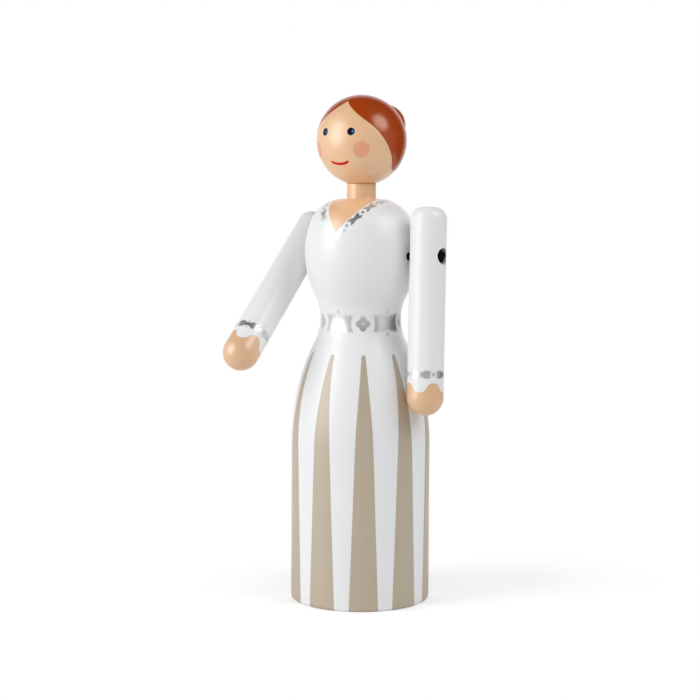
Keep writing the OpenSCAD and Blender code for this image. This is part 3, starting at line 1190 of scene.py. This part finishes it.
def tube(bm, path, radius, map_layer, around=20, ring_length=1.5 * MM):
    """A round closed tube along a path, with a map of its turn and its length."""
    aims = [(path[min(i + 1, len(path) - 1)] - path[max(i - 1, 0)]).normalized() for i in range(len(path))]
    side = aims[0].orthogonal().normalized()
    rows, gone = [], 0.0
    for index, (place, aim) in enumerate(zip(path, aims)):
        side = (side - side.dot(aim) * aim).normalized()
        other = aim.cross(side)
        gone += (place - path[index - 1]).length if index else 0.0
        ring = [
            bm.verts.new(place + radius * (side * cos(tau * k / around) + other * sin(tau * k / around)))
            for k in range(around)]
        rows.append((ring, gone / ring_length))
    for (first, start), (second, end) in zip(rows, rows[1:]):
        for k in range(around):
            after = (k + 1) % around
            made = bm.faces.new((first[k], first[after], second[after], second[k]))
            for loop, place in zip(made.loops, ((k, start), (k + 1, start), (k + 1, end), (k, end))):
                loop[map_layer].uv = (place[0] / around, place[1])
    for ring, place, aim in ((rows[0][0], path[0], -aims[0]), (rows[-1][0], path[-1], aims[-1])):
        tip = bm.verts.new(place + aim * radius * TUBE_TIP)
        for k in range(around):
            bm.faces.new((ring[k], ring[(k + 1) % around], tip))


def knot_path(side):
    """The line of a tight knot on an arm's bore: two rounds that weave in and out."""
    points = []
    for step in range(KNOT_STEPS + 1):
        turn = tau * 2 * step / KNOT_STEPS
        reach = KNOT_R * (KNOT_REACH + KNOT_SWAY * cos(KNOT_WEAVES * turn))
        rise = ARM_MIDS[side] + KNOT_MID + KNOT_R * KNOT_RISE * sin(KNOT_WEAVES * turn)
        points.append(bore_matrix(side) @ Vector((reach * cos(turn), reach * sin(turn), rise)))
    return points


def washer_mesh(side):
    """A washer with soft edges, on the floor of an arm's knot hole."""
    low = ARM_MIDS[side] + HOLE_FLOOR + WASHER_SOFT
    high = low + WASHER_T - 2 * WASHER_SOFT
    outer, inner = WASHER_R - WASHER_SOFT, CORD_BORE_R + WASHER_SOFT
    corners = ((outer, low, -90), (outer, high, 0), (inner, high, 90), (inner, low, 180))
    turns = [tau * step / WASHER_SEGMENTS for step in range(WASHER_SEGMENTS)]
    bm = bmesh.new()
    rings = []
    for x, z, start in corners:
        for radius, height in arc((x, z), WASHER_SOFT, start, start + 90, 4):
            rings.append([bm.verts.new((radius * cos(turn), radius * sin(turn), height)) for turn in turns])
    for first, second in zip(rings, rings[1:] + rings[:1]):
        join_rings(bm, first, second)
    bm.transform(bore_matrix(side))
    return bm


# Operators

class DOLL_OT_make_body(Operator):
    """Turn the body with its neck, its bores and its bare foot"""
    bl_idname = "doll.make_body"
    bl_label = "Body"

    def execute(self, context):
        colours = context.scene.doll_colours

        def bare(place):
            in_neck = place.z > NECK_TOP - PIN_DOWN - MM and place.xy.length < PIN_GLUE_R + MM
            return place.z < FOOT_FLAT or place.z > NECK_TOP - EDGE_BREAK or in_neck

        bm = turned_mesh(body_turning(), BODY_SEGMENTS, (PIVOTS[1].z, BODY_WINDOW, 0), bare)
        white = white_lacquer("white_lacquer", colours)
        beech = bare_beech(colours)
        settle(new_object("doll_body", bm, (white, beech)), "body", "body")
        pin = frame["nodes"]["neck_dowel"]
        for index in range(len(pin.data.materials)):
            pin.data.materials[index] = beech
        return {"FINISHED"}


class DOLL_OT_paint_skirt(Operator):
    """Paint the stripes of the skirt"""
    bl_idname = "doll.paint_skirt"
    bl_label = "Skirt Stripes"

    def execute(self, context):
        sizes, tan = context.scene.doll_sizes, context.scene.doll_colours.tan
        turning = body_turning()
        low, edge, high = (turning.find(height, 1) for height in (STRIPE_FOOT, FOOT_ROUND, sizes.stripe_top))

        def point(row, column, lift):
            if row < FOOT_SHARE:
                run = low + (edge - low) * row / FOOT_SHARE
            else:
                run = edge + (high - edge) * (1 - ((1 - row) / (1 - FOOT_SHARE)) ** TIP_CROWDING)
            radius, height = turning.at(run)[0]
            half = smooth_through(STRIPE, height / MM) * MM
            from_tip = STRIPE_TIP - (high - run)
            if from_tip > 0:
                half = min(half, sqrt(max(0.0, STRIPE_TIP ** 2 - from_tip ** 2)))
            return turning.place(half * (2 * column - 1) / radius, run, lift)

        bm = new_coat(point, sizes.paint, rows=STRIPE_ROWS, columns=12, sink=STRIPE_SINK, ring=False)
        paint = lacquer("tan_lacquer", tan, shaded(tan, 0.93), 0.4, gloss=0.9, coat=0.6)
        settle(repeat_round("skirt_stripes", bm, sizes.stripes, sizes.stripe_turn, paint), "body")
        return {"FINISHED"}


class DOLL_OT_lay_belt(Operator):
    """Lay the silver lace of the belt"""
    bl_idname = "doll.lay_belt"
    bl_label = "Belt Lace"

    def execute(self, context):
        sizes = context.scene.doll_sizes
        silver = foil_finish("silver_foil", context.scene.doll_colours.silver)
        bm = lace_mesh(
            BELT_LACE, body_turning(), sizes.belt_flowers, sizes.belt_mid, sizes.belt_scale, sizes.foil)
        settle(repeat_round("belt_lace", bm, sizes.belt_flowers, sizes.belt_turn, silver), "body")
        return {"FINISHED"}


class DOLL_OT_paint_neckline(Operator):
    """Paint the neck and lay the trim of the neckline"""
    bl_idname = "doll.paint_neckline"
    bl_label = "Neckline"

    def execute(self, context):
        sizes, colours = context.scene.doll_sizes, context.scene.doll_colours
        turning = body_turning()
        top = turning.find(NECK_TOP - EDGE_BREAK, 1)
        foot = turning.find(NECK_FOOT_R, 0, turning.find(NECKLINE_FLOOR, 1))

        def point(row, column, lift):
            aim, edge = on_neckline(turning, sizes, NECKLINE, fanned(column, NECKLINE_CROWDING))
            if row < NECK_SHARE:
                run = top + (foot - top) * row / NECK_SHARE
            else:
                run = foot + (edge - foot) * (row - NECK_SHARE) / (1 - NECK_SHARE)
            return turning.place(aim, run, lift)

        bm = new_coat(point, sizes.paint, rows=50, columns=144)
        made = new_object("neckline_skin", bm, (skin_finish("skin_lacquer", colours.skin),))
        settle(made, "body")
        silver = foil_finish("silver_foil", colours.silver)

        def flat(x, y, lift):
            return Vector((x * MM, y * MM, lift))

        for side, name in SIDE_NAMES.items():
            turns = [side * pi * (step / TRIM_STEPS) ** NECKLINE_CROWDING for step in range(TRIM_STEPS + 1)]
            points = [
                turning.place(*on_neckline(turning, sizes, TRIM, turn, sizes.trim_turn)) for turn in turns]
            path = path_object("trim_path", points)
            total = sum((there - here).length for here, there in zip(points, points[1:]))
            bm = bmesh.new()
            add_leaf(bm, flat, BOW_PLACE, BOW, sizes.foil, rows=6)
            add_oval(bm, flat, *BEAD, sizes.foil)
            made = new_object(f"{name}_neckline_trim", bm)
            run_tree(made, lay_along_tree(), {
                "Path": path, "Surface": bpy.data.objects["doll_body"], "Count": int(total / TRIM_SPACING),
                "Start": 0.0, "Spacing": TRIM_SPACING, "Material": silver})
            settle(made, "body")
            discard(path)
        point_turn, point_run = on_neckline(turning, sizes, TRIM, 0.0, sizes.trim_turn)
        point_r = turning.at(point_run)[0].x

        def on_point(x, y, lift):
            return turning.place(point_turn + x * MM / point_r, point_run + y * MM, lift)

        bm = bmesh.new()
        add_flower(bm, on_point, POINT_FLOWER_R, POINT_FLOWER_EYE, sizes.foil)
        settle(new_object("neckline_flower", bm, (silver,)), "body")
        return {"FINISHED"}


class DOLL_OT_make_head(Operator):
    """Turn the head and the hair bun"""
    bl_idname = "doll.make_head"
    bl_label = "Head and Bun"

    def execute(self, context):
        colours = context.scene.doll_colours
        base = HEAD_SEAT - HEAD_C.z - SEAT_SINK
        seat_r = sqrt(HEAD_R ** 2 - base ** 2)
        ball = profile(
            (0, base + PIN_UP),
            ((PIN_BORE_R, base + PIN_UP), 3),
            ((PIN_BORE_R, base), 6),
            ((seat_r, base), 3),
            ((0, 0), HEAD_R, degrees(atan2(base, seat_r)), 90, 84))
        bm = turned_mesh(ball, HEAD_SEGMENTS, bare=lambda place: place.xy.length < seat_r and place.z < 0)
        bm.transform(Matrix.Translation(HEAD_C))
        made = new_object("doll_head", bm, (skin_finish("skin_lacquer", colours.skin), bare_beech(colours)))
        cut_bun_seat(made)
        settle(made, "head", "head")

        seat = BUN_SEAT + GLUE_GAP
        foot = seat - SPIGOT_LEN
        rim = asin((seat - BUN_REACH) / BUN_R)
        bm = bun_mesh(profile(
            (0, foot),
            ((SPIGOT_R - EDGE_BREAK, foot), 2),
            ((SPIGOT_R, foot + EDGE_BREAK), 1),
            ((SPIGOT_R, seat), 4),
            ((BUN_R * cos(rim), seat), 3),
            ((0, BUN_REACH), BUN_R, degrees(rim), 90, 56)))
        settle(new_object("hair_bun_ball", bm, (hair_finish(colours),)), "head", "hair_bun")
        return {"FINISHED"}


class DOLL_OT_paint_head(Operator):
    """Paint the hair, the eyes, the mouth and the cheeks"""
    bl_idname = "doll.paint_head"
    bl_label = "Hair and Face"

    def execute(self, context):
        sizes, colours = context.scene.doll_sizes, context.scene.doll_colours

        def hair(row, column, lift):
            turn = fanned(column, HAIRLINE_CROWDING)
            edge = radians(smooth_through(HAIRLINE, abs(degrees(turn))))
            return on_head(turn, edge + (pi / 2 - edge) * row, lift)

        bm = new_coat(hair, sizes.paint, rows=56, columns=160)
        made = new_object("hair_cap", bm, (hair_finish(colours),))
        cut_bun_seat(made)
        settle(made, "head")

        bm = bmesh.new()
        map_layer = bm.loops.layers.uv.new("eye")
        for side in (1, -1):
            add_head_disc(
                bm, side * sizes.eye_turn, sizes.eye_lift, sizes.eye_d / 2, sizes.paint, EYE_DOME, map_layer)
        settle(new_object("eyes", bm, (eye_finish(colours),), sharp=60), "head")

        bm = bmesh.new()
        for turn in (sizes.left_cheek_turn, sizes.right_cheek_turn):
            add_head_disc(bm, turn, sizes.cheek_lift, sizes.cheek_d / 2, sizes.paint)
        pink = lacquer("pink_lacquer", colours.pink, shaded(colours.pink, 0.95), 0.37, gloss=0.8, coat=0.7)
        settle(new_object("cheeks", bm, (pink,)), "head")

        reach = HEAD_R * cos(sizes.mouth_mid) * sizes.mouth_turn
        cap = sizes.mouth_width / 2 / reach

        def mouth(row, column, lift):
            share = 2 * row - 1
            left_over = max(0.0, (abs(share) - 1 + cap) / cap)
            half = sizes.mouth_width / 2 * sqrt(max(0.0, 1 - left_over ** 2))
            rise = sizes.mouth_mid + sizes.mouth_rise * share ** 2
            return on_head(share * sizes.mouth_turn, rise + half * (2 * column - 1) / HEAD_R, lift)

        bm = new_coat(mouth, sizes.paint, rows=60, columns=4, ring=False)
        red = lacquer("red_lacquer", colours.red, shaded(colours.red, 0.85), 0.34, gloss=0.25)
        settle(new_object("mouth", bm, (red,)), "head")
        return {"FINISHED"}


class DOLL_OT_make_arms(Operator):
    """Turn both arms, paint the hands and lay the lace of the cuffs"""
    bl_idname = "doll.make_arms"
    bl_label = "Arms"

    def execute(self, context):
        sizes, colours = context.scene.doll_sizes, context.scene.doll_colours
        turning = arm_turning()
        silver = foil_finish("silver_foil", colours.silver)

        def hand(row, column, lift):
            turn = tau * column
            wave = cos(sizes.scallops * (turn - sizes.scallop_turn))
            swing = tanh(SCALLOP_STEEPNESS * wave) / tanh(SCALLOP_STEEPNESS)
            edge = turning.find(sizes.scallop_mid - sizes.scallop_depth * swing, 1)
            return turning.place(turn, edge * (1 - row), lift)

        for side, name in SIDE_NAMES.items():
            matrix = arm_matrix(side)
            axis = matrix.to_3x3() @ UP
            node = f"{name}_arm"
            bm = turned_mesh(turning, STICK_SEGMENTS, (0, ARM_WINDOW, side))
            bm.transform(matrix)
            white = white_lacquer(f"white_lacquer_{name}_arm", colours, axis)
            # The holes' walls take the dusted wood, darkened as painted shade in the holes
            beech = beech_finish(
                f"bare_beech_{name}_arm", colours.dusted_shaded_wood, shaded(colours.dusted_shaded_wood, 0.7), axis,
                tuple(matrix @ ARM_PITH))
            settle(new_object(f"{name}_arm_stick", bm, (white, beech)), node, node)

            bm = new_coat(hand, sizes.paint, rows=28, columns=128)
            bm.transform(matrix)
            # The hands take a darker copy of the skin, as painted shade
            skin = skin_finish(f"skin_lacquer_{name}_hand", shaded(colours.skin, 0.9), axis)
            settle(new_object(f"{name}_hand_skin", bm, (skin,)), node)

            bm = lace_mesh(
                CUFF_LACE, turning, sizes.cuff_flowers, sizes.cuff_mid, sizes.cuff_scale, sizes.foil)
            made = repeat_round(f"{name}_cuff_lace", bm, sizes.cuff_flowers, sizes.cuff_turn, silver)
            made.data.transform(matrix)
            settle(made, node)
        return {"FINISHED"}


class DOLL_OT_string_arms(Operator):
    """String the arms on the elastic cord, with a washer under each knot"""
    bl_idname = "doll.string_arms"
    bl_label = "Cord and Washers"

    def execute(self, context):
        colours = context.scene.doll_colours
        bm = bmesh.new()
        map_layer = bm.loops.layers.uv.new("cord")
        ends = {}
        for side in SIDE_NAMES:
            knot = ARM_MIDS[side] + HOLE_FLOOR + WASHER_T + KNOT_R * CORD_PAST
            ends[side] = [bore_matrix(side) @ Vector((0, 0, knot * share)) for share in CORD_END_SHARES]
        middle = [PIVOTS[1].lerp(PIVOTS[-1], step / CORD_STEPS) for step in range(1, CORD_STEPS)]
        tube(bm, ends[1] + middle + ends[-1][::-1], CORD_R, map_layer)
        for side in SIDE_NAMES:
            tube(bm, knot_path(side), KNOT_R * KNOT_CORD, map_layer, around=16)
        made = new_object("elastic_cord", bm, (elastic_finish(colours),), sharp=50)
        settle(made, "body", "shoulder_cord")
        steel = steel_finish(colours)
        for side, name in SIDE_NAMES.items():
            made = new_object(f"{name}_washer", washer_mesh(side), (steel,))
            settle(made, f"{name}_arm", f"{name}_cord_washer")
        return {"FINISHED"}


class DOLL_OT_set_stage(Operator):
    """Set the floor, the backdrop, the lights and the camera"""
    bl_idname = "doll.set_stage"
    bl_label = "Stage"

    def execute(self, context):
        stage, scene = context.scene.doll_stage, context.scene
        scene.view_settings.view_transform = "Standard"
        right = Vector((cos(stage.azimuth), sin(stage.azimuth), 0))
        ahead = Vector((-sin(stage.azimuth), cos(stage.azimuth), 0))

        lens = bpy.data.cameras.new("camera")
        lens.lens, lens.sensor_width = LENS, SENSOR
        camera = bpy.data.objects.new("camera", lens)
        scene.collection.objects.link(camera)
        look = ahead * cos(stage.pitch) - UP * sin(stage.pitch)
        top = UP * cos(stage.pitch) + ahead * sin(stage.pitch)
        level_right = right * cos(stage.roll) + top * sin(stage.roll)
        level_top = top * cos(stage.roll) - right * sin(stage.roll)
        matrix = Matrix((level_right, level_top, -look)).transposed().to_4x4()
        camera.matrix_world = Matrix.Translation(
            right * stage.aside - ahead * stage.distance + UP * stage.height) @ matrix
        scene.camera = camera

        def lamp(name, place, power):
            azimuth, rise, away, wide, tall = place
            data = bpy.data.lights.new(name, "AREA")
            data.shape, data.size, data.size_y, data.energy = "ELLIPSE", wide, tall, power
            made = bpy.data.objects.new(name, data)
            scene.collection.objects.link(made)
            out = Vector((sin(azimuth) * cos(rise), -cos(azimuth) * cos(rise), sin(rise)))
            made.location = LAMP_AIM + out * away
            made.rotation_mode = "QUATERNION"
            made.rotation_quaternion = out.to_track_quat("Z", "Y")

        lamp("key_light", KEY_LAMP, stage.key)
        lamp("fill_light", FILL_LAMP, stage.fill)

        world = bpy.data.worlds.new("studio")
        scene.world = world
        world.use_nodes = True
        bench = Bench(world.node_tree)
        toward = bench.node("ShaderNodeTexCoord", output="Generated")

        def share(axis, edge):
            return bench.ease(bench.along(toward, axis), *edge)

        behind = share(ahead, BACKDROP_EDGE)
        front = (1 - share(ahead, REAR_EDGE)) * (1 - share(UP, TOP_EDGE))
        side = share(-right, SHEEN_EDGE)
        gleam = stage.rear_gleam + front * (stage.gleam - stage.rear_gleam)
        gleam = gleam * (1 - side) + side * stage.sheen
        glossy = bench.node("ShaderNodeLightPath", output="Is Glossy Ray")
        room = stage.room * (1 - glossy) + gleam * glossy
        lit = room * (1 - behind) + behind * stage.backdrop
        strength = bench.math("MAXIMUM", lit, bench.shown(behind))
        sky = bench.node("ShaderNodeBackground", sockets={"Color": WHITE, "Strength": strength})
        bench.node("ShaderNodeOutputWorld", sockets={"Surface": sky})

        bm = bmesh.new()
        bmesh.ops.create_grid(bm, x_segments=8, y_segments=8, size=FLOOR_HALF)
        bm.transform(Matrix.Translation((0, 0, -FLOOR_DROP)))
        floor = new_object("floor", bm, (floor_finish(ahead, right),))
        if floor.data.polygons[0].normal.z < 0:
            floor.data.flip_normals()
        return {"FINISHED"}


class VIEW3D_PT_doll(Panel):
    """Lists the steps that make the doll and the values they use"""
    bl_idname = "VIEW3D_PT_doll"
    bl_label = "Wooden Bride Doll"
    bl_space_type = "VIEW_3D"
    bl_region_type = "UI"
    bl_category = "Doll"

    def draw(self, context):
        for step in STEPS:
            self.layout.operator(step.bl_idname)
        for group in (context.scene.doll_sizes, context.scene.doll_colours, context.scene.doll_stage):
            box = self.layout.box()
            for key in group.__annotations__:
                box.prop(group, key)


STEPS = (
    DOLL_OT_make_body, DOLL_OT_paint_skirt, DOLL_OT_lay_belt, DOLL_OT_paint_neckline, DOLL_OT_make_head,
    DOLL_OT_paint_head, DOLL_OT_make_arms, DOLL_OT_string_arms, DOLL_OT_set_stage)
GROUPS = {"doll_sizes": DollSizes, "doll_colours": DollColours, "doll_stage": DollStage}


def register():
    for made in (*GROUPS.values(), *STEPS, VIEW3D_PT_doll):
        bpy.utils.register_class(made)
    for name, group in GROUPS.items():
        setattr(bpy.types.Scene, name, PointerProperty(type=group))


def unregister():
    for name in GROUPS:
        delattr(bpy.types.Scene, name)
    for made in (VIEW3D_PT_doll, *STEPS[::-1], *GROUPS.values()):
        bpy.utils.unregister_class(made)


def main():
    register()
    for step in STEPS:
        getattr(bpy.ops.doll, step.bl_idname.split(".")[1])()


if __name__ == "__main__":
    main()
